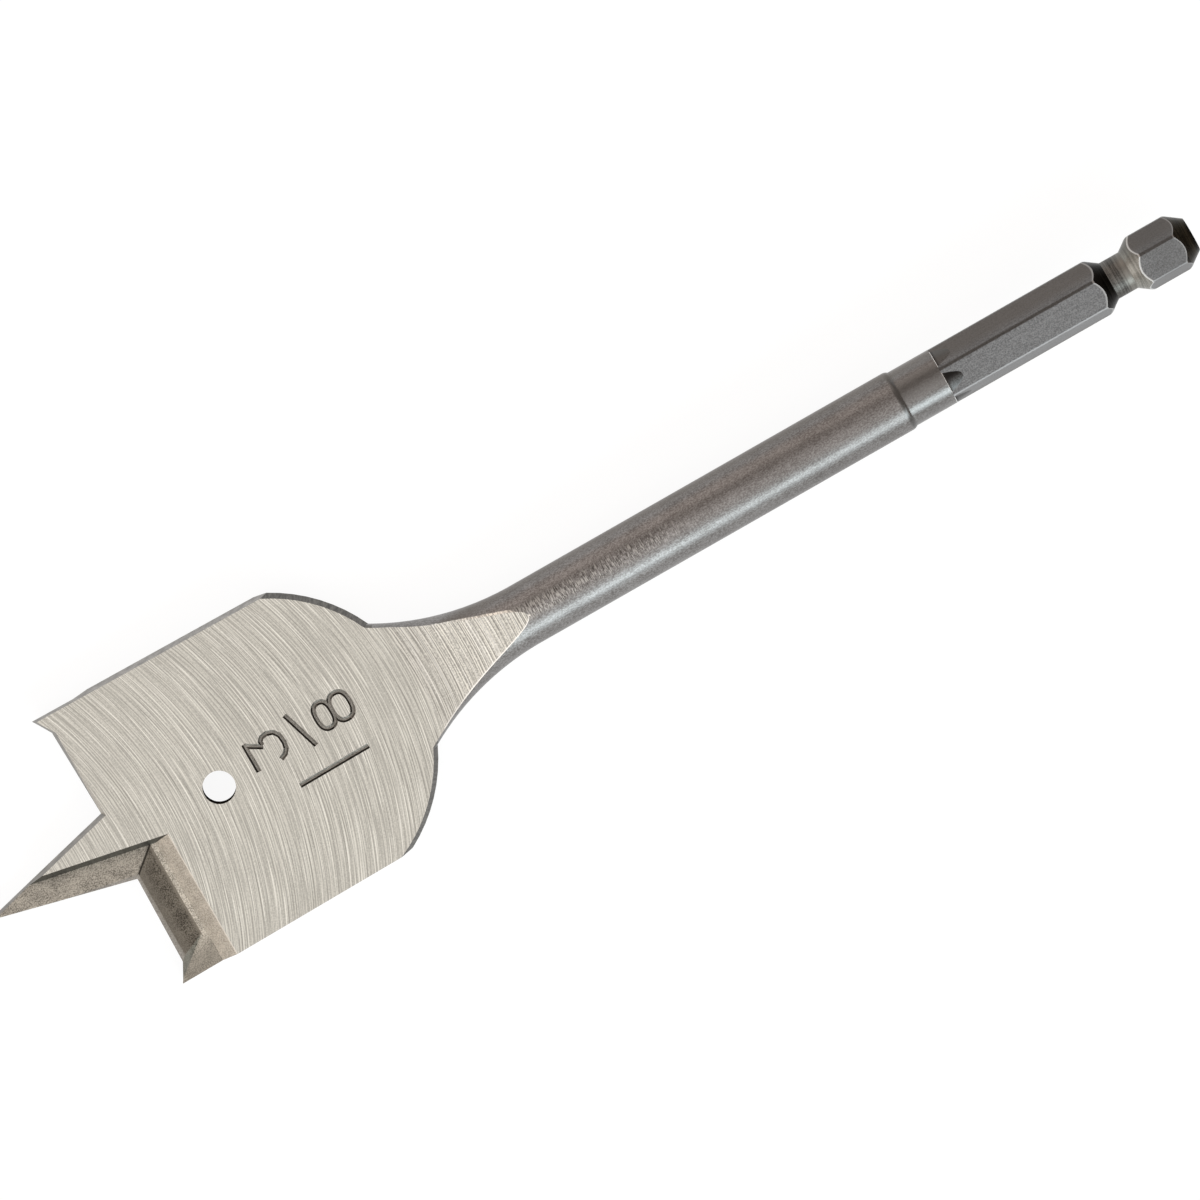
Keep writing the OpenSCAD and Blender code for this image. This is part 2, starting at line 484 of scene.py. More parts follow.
@dataclass(frozen=True)
class Finish(ABC):
    """What the finishes of the steel share: two tones, traces, roughness and relief in millimetres."""

    dark: Color
    light: Color
    traces: tuple[Trace, ...] = ()
    roughness: float = 0.4
    relief: float = 0.02
    swing: float = 0.2
    metallic: float = 1.0
    contrast: Limits = (0.32, 0.68)

    def material(self, name: str, sizes: BitSizes) -> Material:
        """Builds the finish.

        Args:
            name: Name of the material.
            sizes: Sizes of the bit.

        Returns:
            The material.
        """
        desk = NodeDesk(name)
        skin = self._skin(desk, sizes)
        color = skin.color
        for trace in self.traces:
            color = trace.paint(desk, color)
        desk.bump(skin.height, self.relief)
        rough = desk.math("MULTIPLY", skin.gloss, self.swing)
        rough = desk.math("ADD", rough, self.roughness - self.swing / 2.0)
        return desk.finish(color, rough, self.metallic)

    @abstractmethod
    def _skin(self, desk: NodeDesk, sizes: BitSizes) -> Skin:
        """Colour and relief, before the traces.

        Args:
            desk: The material's desk.
            sizes: Sizes of the bit.

        Returns:
            The skin.
        """


@dataclass(frozen=True)
class GroundFinish(Finish):
    """Bright face with the long arcs that a cup wheel leaves."""

    dark: Color = (0.395, 0.386, 0.352)
    light: Color = (0.615, 0.602, 0.551)
    roughness: float = 0.56
    relief: float = 0.0012
    swing: float = 0.14
    contrast: Limits = (0.33, 0.67)
    bright: Color = (0.92, 0.91, 0.85)
    deep: Color = (0.19, 0.185, 0.167)
    bright_share: float = 0.55
    deep_share: float = 0.4
    arc_radius: float = 43.0
    arc_y: float = 1.5
    broad: LineSet = LineSet(3.6, 0.1, 3.0)
    fine: LineSet = LineSet(6.6, 0.16, 9.0)
    glints: LineSet = LineSet(5.6, 0.12, 21.0)
    scores: LineSet = LineSet(5.0, 0.12, 37.0)
    grain: float = 5.5
    broad_share: float = 0.4
    grain_share: float = 0.4
    streak: Limits = (0.64, 0.74)
    step: float = 0.6
    # Painted highlight along the edge where the ramp meets the neck's flank: its strength, reach and full
    # core
    edge_highlight: float = 0.0
    edge_highlight_width: float = 0.2
    edge_highlight_core: float = 0.08

    def _skin(self, desk: NodeDesk, sizes: BitSizes) -> Skin:
        """Ground lines with single bright and deep ones, and a painted highlight along one edge."""
        rise = desk.math("SUBTRACT", desk.y, self.arc_y)
        drop = desk.math("SUBTRACT", self.arc_radius ** 2, desk.math("MULTIPLY", rise, rise))
        across = desk.math("SUBTRACT", desk.x, desk.math("SQRT", desk.math("MAXIMUM", drop, 1.0)))
        broad, fine = (self._lines(desk, across, rows) for rows in (self.broad, self.fine))
        lines = desk.sum((broad, self.broad_share), (fine, 1.0 - self.broad_share))
        grain = desk.math("SUBTRACT", desk.noise(desk.scaled(self.grain, self.grain), 1.0), MIDDLE)
        shade = desk.math("ADD", lines, desk.math("MULTIPLY", grain, self.grain_share))
        color = desk.blend(desk.span(shade, *self.contrast), self.dark, self.light)
        for tone, share, rows in (
            (self.bright, self.bright_share, self.glints),
            (self.deep, self.deep_share, self.scores),
        ):
            streak = desk.span(self._lines(desk, across, rows), *self.streak, 0.0, share)
            color = desk.blend(streak, color, tone)
        # Painted highlight along the ramp's edge at the neck's flank
        if self.edge_highlight > 0.0:
            gap = self._highlight_gap(desk, sizes)
            edge_highlight = desk.span(gap, self.edge_highlight_core, self.edge_highlight_width, self.edge_highlight, 0.0)
            color = desk.blend(edge_highlight, color, self.bright)
        return Skin(color, lines, lines)

    def _highlight_gap(self, desk: NodeDesk, sizes: BitSizes) -> Socket:
        """Distance from the edge that the wheel left last, where the flank of the neck begins.

        Args:
            desk: The material's desk.
            sizes: Sizes of the bit.

        Returns:
            The distance, in millimetres.
        """
        reach = sizes.flare_radius + sizes.shank_radius
        low = desk.math("SUBTRACT", sizes.shank_radius ** 2, desk.math("MULTIPLY", desk.z, desk.z))
        section = desk.math("SQRT", desk.math("MAXIMUM", low, 0.01))
        turn = desk.math("SUBTRACT", reach, section)
        along = desk.math("SUBTRACT", desk.x, sizes.neck_x)
        rest = desk.math("SUBTRACT", desk.math("MULTIPLY", turn, turn), desk.math("MULTIPLY", along, along))
        flare = desk.math("SQRT", desk.math("MAXIMUM", rest, 1.0))
        edge = desk.math("SUBTRACT", reach, flare)
        return desk.math("ABSOLUTE", desk.math("ADD", desk.front_y(), edge))

    def _lines(self, desk: NodeDesk, across: Socket, rows: LineSet) -> Socket:
        """Noise drawn out along the arcs, without its slow waves.

        Args:
            desk: The material's desk.
            across: Distance across the arcs, in millimetres.
            rows: Size of the lines.

        Returns:
            The noise, about 0.5 in the middle.
        """
        at = desk.math("MULTIPLY", across, rows.pitch)
        along = desk.math("MULTIPLY", desk.y, rows.drift)
        here = desk.noise(desk.join(at, along, rows.start), 0.5)
        beside = desk.noise(desk.join(desk.math("ADD", at, self.step), along, rows.start), 0.5)
        return desk.math("ADD", desk.math("SUBTRACT", here, beside), MIDDLE)


@dataclass(frozen=True)
class CoinedFinish(Finish):
    """Sand-like matte skin of the struck recesses."""

    roughness: float = 0.5
    relief: float = 0.03
    contrast: Limits = (0.3, 0.7)
    grain: float = 6.5
    cloud: float = 0.7

    def _skin(self, desk: NodeDesk, sizes: BitSizes) -> Skin:
        """Fine grain under broad clouds."""
        grain = desk.noise(desk.scaled(self.grain, self.grain), 2.0, 0.6)
        cloud = desk.noise(desk.scaled(self.cloud, self.cloud), 1.0)
        shift = desk.math("SUBTRACT", cloud, MIDDLE)
        tone = desk.math("ADD", desk.span(grain, *self.contrast), shift, clamp=True)
        return Skin(desk.blend(tone, self.dark, self.light), grain, grain)


@dataclass(frozen=True)
class ForgedFinish(Finish):
    """Grey forged skin: fine pits, weak lengthwise streaks, and short marks across the top."""

    dark: Color = (0.145, 0.137, 0.131)
    light: Color = (0.315, 0.307, 0.302)
    relief: float = 0.018
    contrast: Limits = (0.34, 0.66)
    shares: tuple[float, float, float] = (0.76, 0.10, 0.14)
    hatch: float = 0.0
    hatch_rows: tuple[LineSet, LineSet] = (LineSet(7.2, 1.3, 0.0), LineSet(7.2, 1.3, 40.0))
    hatch_cut: Limits = (0.55, 0.61)
    hatch_edge: Limits = (0.6, 1.3)
    soot: Color = (0.07, 0.066, 0.06)
    scuff: Color = (0.52, 0.515, 0.49)
    hatch_y: float = 0.5
    hatch_end: float = -62.0
    hatch_fade: float = 14.0
    rub: float = 0.09
    rub_span: Limits = (-88.0, -79.0)

    def _skin(self, desk: NodeDesk, sizes: BitSizes) -> Skin:
        """Pits, streaks and clouds, with dark and light marks where the finish has them."""
        grain = desk.noise(desk.scaled(4.5, 6.0), 3.0, 0.6)
        streak = desk.noise(desk.scaled(0.22, 2.2), 2.0, 0.6)
        cloud = desk.noise(desk.scaled(0.35, 0.5), 2.0, 0.6)
        height = desk.sum(*zip((grain, streak, cloud), self.shares))
        color = desk.blend(desk.span(height, *self.contrast), self.dark, self.light)
        if self.hatch > 0.0:
            for tone, rows, rub in zip((self.soot, self.scuff), self.hatch_rows, (0.0, self.rub)):
                marks = self._hatch(desk, rows, rub)
                height = desk.math("SUBTRACT", height, marks)
                color = desk.blend(marks, color, tone)
        return Skin(color, height, grain)

    def _hatch(self, desk: NodeDesk, rows: LineSet, rub: float) -> Socket:
        """Short marks across the top of the shank, fading towards the collar.

        Args:
            desk: The material's desk.
            rows: Size of the marks.
            rub: How far the marks crowd together right behind the tongue of the ramp.

        Returns:
            The strength of the marks.
        """
        cross = desk.noise(desk.plan(rows), 1.0)
        cross = desk.math("ADD", cross, desk.span(desk.x, *self.rub_span, rub, 0.0))
        turn = desk.math("ABSOLUTE", desk.math("SUBTRACT", desk.front_y(), self.hatch_y))
        across = desk.span(turn, *self.hatch_edge, 1.0, 0.0)
        along = desk.span(desk.x, self.hatch_end - self.hatch_fade, self.hatch_end, 1.0, 0.0)
        fade = desk.math("MULTIPLY", across, along)
        marks = desk.math("MULTIPLY", desk.span(cross, *self.hatch_cut), fade)
        return desk.math("MULTIPLY", marks, self.hatch)


@dataclass(frozen=True)
class RimFinish(Finish):
    """Forged and ground edges of the blade, with marks across the thickness."""

    roughness: float = 0.42
    teeth: float = 2.6
    tooth_drift: float = 0.6
    tooth_start: float = 4.0
    tooth_share: float = 0.7
    grain: float = 6.0

    def _skin(self, desk: NodeDesk, sizes: BitSizes) -> Skin:
        """Marks set around the centre of the shoulders, under fine grain."""
        dx = desk.math("SUBTRACT", desk.x, sizes.shoulder_x)
        around = desk.math("MULTIPLY", desk.math("ARCTAN2", desk.y, dx), sizes.shoulder_radius)
        teeth = desk.math("MULTIPLY", around, self.teeth)
        place = desk.join(teeth, desk.math("MULTIPLY", desk.z, self.tooth_drift), self.tooth_start)
        grain = desk.noise(desk.scaled(self.grain, self.grain))
        skin = desk.sum((desk.noise(place, rough=0.6), self.tooth_share), (grain, 1.0 - self.tooth_share))
        return Skin(desk.blend(desk.span(skin, *self.contrast), self.dark, self.light), skin, grain)


@dataclass(frozen=True)
class StreakFinish(Finish):
    """Streaks along the drill axis or rings about it, under fine grain."""

    along: float = 0.3
    around: float = 6.0
    streak_share: float = 0.25
    grain: float = 6.0

    def _skin(self, desk: NodeDesk, sizes: BitSizes) -> Skin:
        """Streaks and grain."""
        streak = desk.noise(desk.scaled(self.along, self.around))
        grain = desk.noise(desk.scaled(self.grain, self.grain))
        skin = desk.sum((streak, self.streak_share), (grain, 1.0 - self.streak_share))
        return Skin(desk.blend(desk.span(skin, *self.contrast), self.dark, self.light), skin, grain)


@dataclass(frozen=True)
class DrawnFinish(StreakFinish):
    """Hex flats, drawn bright along their length."""

    roughness: float = 0.38
    relief: float = 0.008


@dataclass(frozen=True)
class TurnedFinish(StreakFinish):
    """Lathe-turned surface, with fine rings about the drill axis."""

    roughness: float = 0.36
    relief: float = 0.015
    along: float = 7.0
    around: float = 0.15
    streak_share: float = 0.7
    grain: float = 5.0
    contrast: Limits = (0.3, 0.7)


@dataclass
class SizeMark:
    """Engraved size of the bit, a whole number and a fraction, read with the tip upwards.

    Strokes are in millimetres on the marked face, along the drill axis and across the blade.
    """

    stroke_width: float = 0.62
    foot_width: float = 0.2
    depth: float = 0.24
    overlap: float = 0.3
    lobe_power: float = 2.5
    lobe_points: int = 36
    # Lean past which a stroke's wall gets painted light or shade instead of the floor's finish, and the
    # share of the lean across the blade
    least_lean: float = 0.35
    side_share: float = 0.6
    lowest: float = 0.5
    area: tuple[Limits, Limits] = ((-126.0, -110.0), (-5.0, 4.6))
    three_bar: tuple[Place, ...] = ((-123.95, -0.42), (-123.95, 3.2))
    three_flag: tuple[Place, ...] = ((-124.0, 2.98), (-122.12, 1.86))
    three_bowl: tuple[Place, ...] = (
        (-122.14, 2.1), (-122.12, 2.55), (-121.78, 2.9), (-121.07, 3.02), (-120.30, 2.75),
        (-119.85, 2.1), (-119.75, 1.15), (-119.90, 0.4), (-120.32, -0.12), (-121.00, -0.4),
    )
    fraction_bar: tuple[Place, ...] = ((-118.20, 3.8), (-116.70, -1.02))
    whole_number: tuple[Place, ...] = ((-120.65, -4.17), (-111.52, -4.07))
    lobes: tuple[tuple[float, ...], ...] = ((-114.20, 1.53, 1.0, 1.62), (-111.99, 1.52, 1.154, 1.68))

    def strokes(self) -> list[tuple[list[Place], bool]]:
        """All strokes of the mark.

        Returns:
            The points of each stroke, and whether it is closed.
        """
        paths = (self.three_bar, self.three_flag, self.three_bowl, self.fraction_bar, self.whole_number)
        rows = [(list(path), False) for path in paths]
        for x, y, half_length, half_width in self.lobes:
            rows.append((self._lobe(x, y, half_length, half_width), True))
        return rows

    def _lobe(self, x: float, y: float, half_length: float, half_width: float) -> list[Place]:
        """One closed lobe of the eight, an oval with full corners.

        Args:
            x: Centre along the drill axis.
            y: Centre across the blade.
            half_length: Half of the lobe's length along the axis.
            half_width: Half of the lobe's width across the blade.

        Returns:
            The lobe's points.
        """
        points = []
        for i in range(self.lobe_points):
            turn = 2.0 * math.pi * i / self.lobe_points
            c, s = math.cos(turn), math.sin(turn)
            power = 2.0 / self.lobe_power
            points.append((
                x + half_length * math.copysign(abs(c) ** power, c),
                y + half_width * math.copysign(abs(s) ** power, s),
            ))
        return points

    def cutters(self, top: float) -> list[Object]:
        """Solid strokes that cut the mark into a face.

        Args:
            top: Height of the face, in millimetres.

        Returns:
            One closed mesh for each stroke.
        """
        tree = self._stroke_tree()
        rows = enumerate(self.strokes())
        return [self._cutter(tree, index, points, closed, top) for index, (points, closed) in rows]

    def _stroke_tree(self) -> NodeTree:
        """Geometry nodes that sweep the stroke's section along its path.

        Returns:
            The tree.
        """
        tree = bpy.data.node_groups.new("engraved_stroke", "GeometryNodeTree")
        face = tree.interface
        face.new_socket("Path", in_out="INPUT", socket_type="NodeSocketGeometry")
        for name in ("Top Width", "Foot Width", "Height"):
            face.new_socket(name, in_out="INPUT", socket_type="NodeSocketFloat")
        face.new_socket("Finish", in_out="INPUT", socket_type="NodeSocketMaterial")
        face.new_socket("Cutter", in_out="OUTPUT", socket_type="NodeSocketGeometry")
        source = tree.nodes.new("NodeGroupInput")
        result = tree.nodes.new("NodeGroupOutput")
        section = tree.nodes.new("GeometryNodeCurvePrimitiveQuadrilateral")
        section.mode = "TRAPEZOID"
        section.inputs["Offset"].default_value = 0.0
        # The sweep turns its section over, so the foot is the section's upper side
        sweep = tree.nodes.new("GeometryNodeCurveToMesh")
        sweep.inputs["Fill Caps"].default_value = True
        realize = tree.nodes.new("GeometryNodeRealizeInstances")
        dress = tree.nodes.new("GeometryNodeSetMaterial")
        for start, outlet, end, inlet in (
            (source, "Top Width", section, "Bottom Width"),
            (source, "Foot Width", section, "Top Width"),
            (source, "Height", section, "Height"),
            (source, "Path", sweep, "Curve"),
            (section, "Curve", sweep, "Profile Curve"),
            (sweep, "Mesh", realize, "Geometry"),
            (realize, "Geometry", dress, "Geometry"),
            (source, "Finish", dress, "Material"),
            (dress, "Geometry", result, "Cutter"),
        ):
            tree.links.new(start.outputs[outlet], end.inputs[inlet])
        return tree

    def _cutter(self, tree: NodeTree, index: int, points: list[Place], closed: bool, top: float) -> Object:
        """One swept stroke.

        Args:
            tree: Geometry nodes of the sweep.
            index: Number of the stroke.
            points: The stroke's path.
            closed: Whether the path is a loop.
            top: Height of the face, in millimetres.

        Returns:
            The stroke as a closed mesh.
        """
        path = bpy.data.curves.new(f"mark_path_{index}", "CURVE")
        path.dimensions = "3D"
        spline = path.splines.new("POLY")
        spline.points.add(len(points) - 1)
        height = self.depth + self.overlap
        middle = top - self.depth + height / 2.0
        for point, (x, y) in zip(spline.points, points):
            point.co = (x * MM, y * MM, middle * MM, 1.0)
        spline.use_cyclic_u = closed
        holder = put(f"mark_stroke_{index}", path)
        modifier = holder.modifiers.new("sweep", "NODES")
        slope = (self.stroke_width - self.foot_width) / self.depth
        values = {
            "Top Width": (self.stroke_width + slope * self.overlap) * MM,
            "Foot Width": self.foot_width * MM,
            "Height": height * MM,
        }
        modifier.node_group = tree
        for item in tree.interface.items_tree:
            if item.in_out == "INPUT" and item.name in values:
                modifier[item.identifier] = values[item.name]
        bpy.context.view_layer.update()
        evaluated = holder.evaluated_get(bpy.context.evaluated_depsgraph_get())
        mesh = bpy.data.meshes.new_from_object(evaluated)
        bpy.data.objects.remove(holder)
        shape = bmesh.new()
        shape.from_mesh(mesh)
        bmesh.ops.remove_doubles(shape, verts=shape.verts, dist=WELD)
        bmesh.ops.recalc_face_normals(shape, faces=shape.faces)
        shape.to_mesh(mesh)
        shape.free()
        return put(f"mark_cutter_{index}", mesh)


@dataclass
class SpadeBit:
    """The forged bit: the solid's own mesh with its mark cut in, and a finish on each area."""

    sizes: BitSizes = field(default_factory=BitSizes)
    mark: SizeMark = field(default_factory=SizeMark)
    crease_deg: float = 10.5
    border_deg: float = 4.0
    round_deg: float = 26.0
    # Parts of a face's direction that tell the areas apart
    flat: float = 0.999
    near_flat: float = 0.98
    side_on: float = 0.9
    wall_rise: float = 0.7
    wall_lean: float = 0.6
    end_on: float = 0.5
    facet_lean: float = 0.3
    steep: float = 0.2
    slight: float = 0.1
    tilted: float = 0.02
    level: float = 0.005
    # Lengths that tell the areas apart, in millimetres
    touch: float = 0.001
    hair: float = 0.01
    hole_slack: float = 0.06
    ramp_slack: float = 0.03
    corner_band: float = 0.03
    rim_slack: float = 0.1
    land_rise: float = 0.2
    break_reach: float = 0.3
    groove_step: float = 0.3
    neck_overlap: float = 0.45
    spur_reach: float = 1.6
    corner_reach: float = 2.0
    seat_reach: float = 2.7
    rim_reach: float = 8.0
    side_reach: float = 16.0

    def build(self, node: Object) -> Object:
        """Makes the visible piece from the solid's mesh.

        Args:
            node: The solid that the piece stands for.

        Returns:
            The finished piece.
        """
        piece = put("forged_bit", self._closed_copy(node))
        self._engrave(piece)
        self._dress(piece)
        self._shade(piece)
        return piece

    def _closed_copy(self, node: Object) -> Mesh:
        """A copy of the solid's mesh with its triangles joined up.

        Args:
            node: The solid.

        Returns:
            The copy.
        """
        mesh = node.data.copy()
        mesh.name = "forged_bit"
        mesh.materials.clear()
        shape = bmesh.new()
        shape.from_mesh(mesh)
        bmesh.ops.remove_doubles(shape, verts=shape.verts, dist=WELD)
        bmesh.ops.dissolve_degenerate(shape, edges=shape.edges, dist=SLIVER)
        shape.to_mesh(mesh)
        shape.free()
        normals = mesh.attributes.get("custom_normal")
        if normals is not None:
            mesh.attributes.remove(normals)
        return mesh

    def _engrave(self, piece: Object) -> None:
        """Cuts the size mark into the front face.

        Args:
            piece: The bit.
        """
        for cutter in self.mark.cutters(self.sizes.half_thickness):
            modifier = piece.modifiers.new("engrave", "BOOLEAN")
            modifier.operation = "DIFFERENCE"
            modifier.solver = "EXACT"
            modifier.object = cutter
            bpy.context.view_layer.update()
            evaluated = piece.evaluated_get(bpy.context.evaluated_depsgraph_get())
            cut = bpy.data.meshes.new_from_object(evaluated)
            piece.modifiers.remove(modifier)
            old, piece.data = piece.data, cut
            bpy.data.meshes.remove(old)
            bpy.data.objects.remove(cutter)
        piece.data.name = "forged_bit"

    def _dress(self, piece: Object) -> None:
        """Gives each face the finish of its area.

        Args:
            piece: The bit.
        """
        mesh = piece.data
        mesh.materials.clear()
        order = list(Region)
        for region in order:
            mesh.materials.append(FINISHES[region].material(region.value, self.sizes))
        for face in mesh.polygons:
            face.material_index = order.index(self._region(face.center / MM, face.normal))

    def _region(self, centre: Vector, normal: Vector) -> Region:
        """The area that a face belongs to.

        Args:
            centre: Middle of the face, in millimetres.
            normal: The face's direction.

        Returns:
            The area.
        """
        s = self.sizes
        side = 1.0 if centre.z >= 0.0 else -1.0
        x, y, z = centre.x, centre.y * side, abs(centre.z)
        n = Vector((normal.x, normal.y * side, normal.z * side))
        if x > s.neck_x + self.neck_overlap:
            return self._shank_region(centre, normal)
        from_hole = math.hypot(x - s.hole_x, centre.y - s.hole_y) - s.hole_radius
        if abs(from_hole) < self.hole_slack and abs(n.z) < self.slight:
            return Region.HOLE
        if z > s.half_thickness - self.touch and n.z > self.flat and x < s.ramp_x + self.hair:
            return Region.FACE
        ramp_z = s.half_thickness + s.ramp_slope * (x - s.ramp_x)
        on_ramp = x > s.ramp_x and abs(z - ramp_z) < self.ramp_slack
        if on_ramp and n.z > self.near_flat and abs(n.y) < self.level:
            return Region.RAMP
        (low_x, high_x), (low_y, high_y) = self.mark.area
        marked = low_x < x < high_x and low_y < y < high_y and centre.z > self.mark.lowest
        if marked and n.z > -self.steep:
            # Walls of the strokes get painted shade or painted light by which way they lean
            lean = n.x + self.mark.side_share * n.y
            if abs(lean) <= self.mark.least_lean:
                return Region.MARK
            return Region.MARK_SHADED if lean > 0.0 else Region.MARK_LIT
        if x < s.recess_x + self.hair and n.z > self.steep:
            return self._recess_region(z, n)
        inset = s.shoulder_radius - math.hypot(x - s.shoulder_x, y)
        on_rim = -self.rim_slack < inset < s.edge_draft + self.rim_slack
        if on_rim and x > s.shoulder_x - self.rim_reach and abs(n.z) > self.steep:
            return Region.RIM
        if x > s.corner_x - self.corner_reach:
            return Region.NECK
        if abs(n.y) > self.side_on and x > s.lip_x - self.spur_reach and abs(y) > self.side_reach:
            return Region.SIDE
        return Region.FLANK

    def _recess_region(self, z: float, n: Vector) -> Region:
        """The area of a face inside a recess.

        Args:
            z: Height of the face above mid thickness.
            n: Direction of the face, turned to the front half.

        Returns:
            The area.
        """
        if n.z > self.flat:
            return Region.LAND if z > self.sizes.floor_z + self.land_rise else Region.FLOOR
        if n.x < -self.facet_lean:
            return Region.FACET
        if n.y < -self.wall_lean and n.z < self.wall_rise:
            return Region.WALL
        return Region.POINT if n.y > self.slight else Region.RAKE

    def _shank_region(self, centre: Vector, normal: Vector) -> Region:
        """The area of a face behind the neck.

        Args:
            centre: Middle of the face, in millimetres.
            normal: The face's direction.

        Returns:
            The area.
        """
        s = self.sizes
        x, out = centre.x, math.hypot(centre.y, centre.z)
        if x < s.collar_x:
            return Region.SHANK
        if abs(x - s.hex_x) < self.break_reach and normal.x > self.end_on:
            return Region.BREAK
        if x < s.hex_x:
            return Region.COLLAR
        if x < s.hex_x + self.seat_reach and normal.x > self.tilted:
            return Region.SEAT
        if x > s.end_chamfer_x and normal.x > self.tilted:
            return Region.CHAMFER
        if abs(normal.x) > self.steep:
            # Lit and shaded copies of the turned finish, picked by which way the wall faces: painted light
            # and painted shade
            return Region.SHADED if normal.x > 0.0 else Region.LIT
        if out < s.hex_inner - self.groove_step:
            return Region.TURNED
        return Region.CORNER if out > s.hex_outer - self.corner_band else Region.HEX

    def _shade(self, piece: Object) -> None:
        """Smooth shading with creases at the real edges.

        Args:
            piece: The bit.
        """
        mesh = piece.data
        for face in mesh.polygons:
            face.use_smooth = True
        shape = bmesh.new()
        shape.from_mesh(mesh)
        order = list(Region)
        for edge in shape.edges:
            pair = {order[face.material_index] for face in edge.link_faces}
            limit = self.crease_deg if len(pair) == 1 else self.border_deg
            if pair <= ROUNDED:
                limit = self.round_deg
            edge.smooth = len(edge.link_faces) == 2 and edge.calc_face_angle(math.pi) < math.radians(limit)
        shape.to_mesh(mesh)
        shape.free()


ROUNDED = {Region.NECK, Region.SHANK, Region.COLLAR}
TONGUE = GroundTongue()
# Painted shade along the top of the shank and neck
SHANK_TOP_SHADE = EdgeTrace(-60.0, 3.75, 0.0, 0.95, (0.12, 0.10, 0.08), 0.5)
# Painted shade along the mitre where the two rake planes meet
MITRE_SHADE = EdgeTrace(-139.1, -1.52, 39.4, 0.2, (0.02, 0.018, 0.015), 0.9)
# Colours of painted shade on the shank and collar
SHADE = (0.10, 0.094, 0.089)
COLLAR_SHADE = (0.10, 0.098, 0.094)
MARK_GRAIN = 9.0
HEX_FINISH = DrawnFinish(
    (0.115, 0.116, 0.118), (0.212, 0.214, 0.217),
    (
        # Painted shade over the upper flats and along the corner below them, and a painted highlight along
        # the lower corner
        EdgeTrace(-20.0, 2.7, 0.0, 1.7, (0.125, 0.114, 0.104), 0.7),
        EdgeTrace(-20.0, 1.1, 0.0, 0.3, (0.06, 0.058, 0.055), 0.7),
        EdgeTrace(-20.0, -2.39, 0.0, 0.16, (0.50, 0.51, 0.52), 0.75),
        # Darker towards the end
        EdgeTrace(-4.0, 0.0, 90.0, 4.5, (0.10, 0.10, 0.10), 0.35),
        # Painted highlights where the groove's cones cut the hex
        TurnedTrace(-12.1, -1.376, 0.2, (0.40, 0.40, 0.40), 0.75),
        TurnedTrace(-7.2, 1.376, 0.2, (0.62, 0.62, 0.61), 0.85),
        TurnedTrace(-1.55, -1.376, 0.16, (0.36, 0.36, 0.36), 0.6),
    ),
)
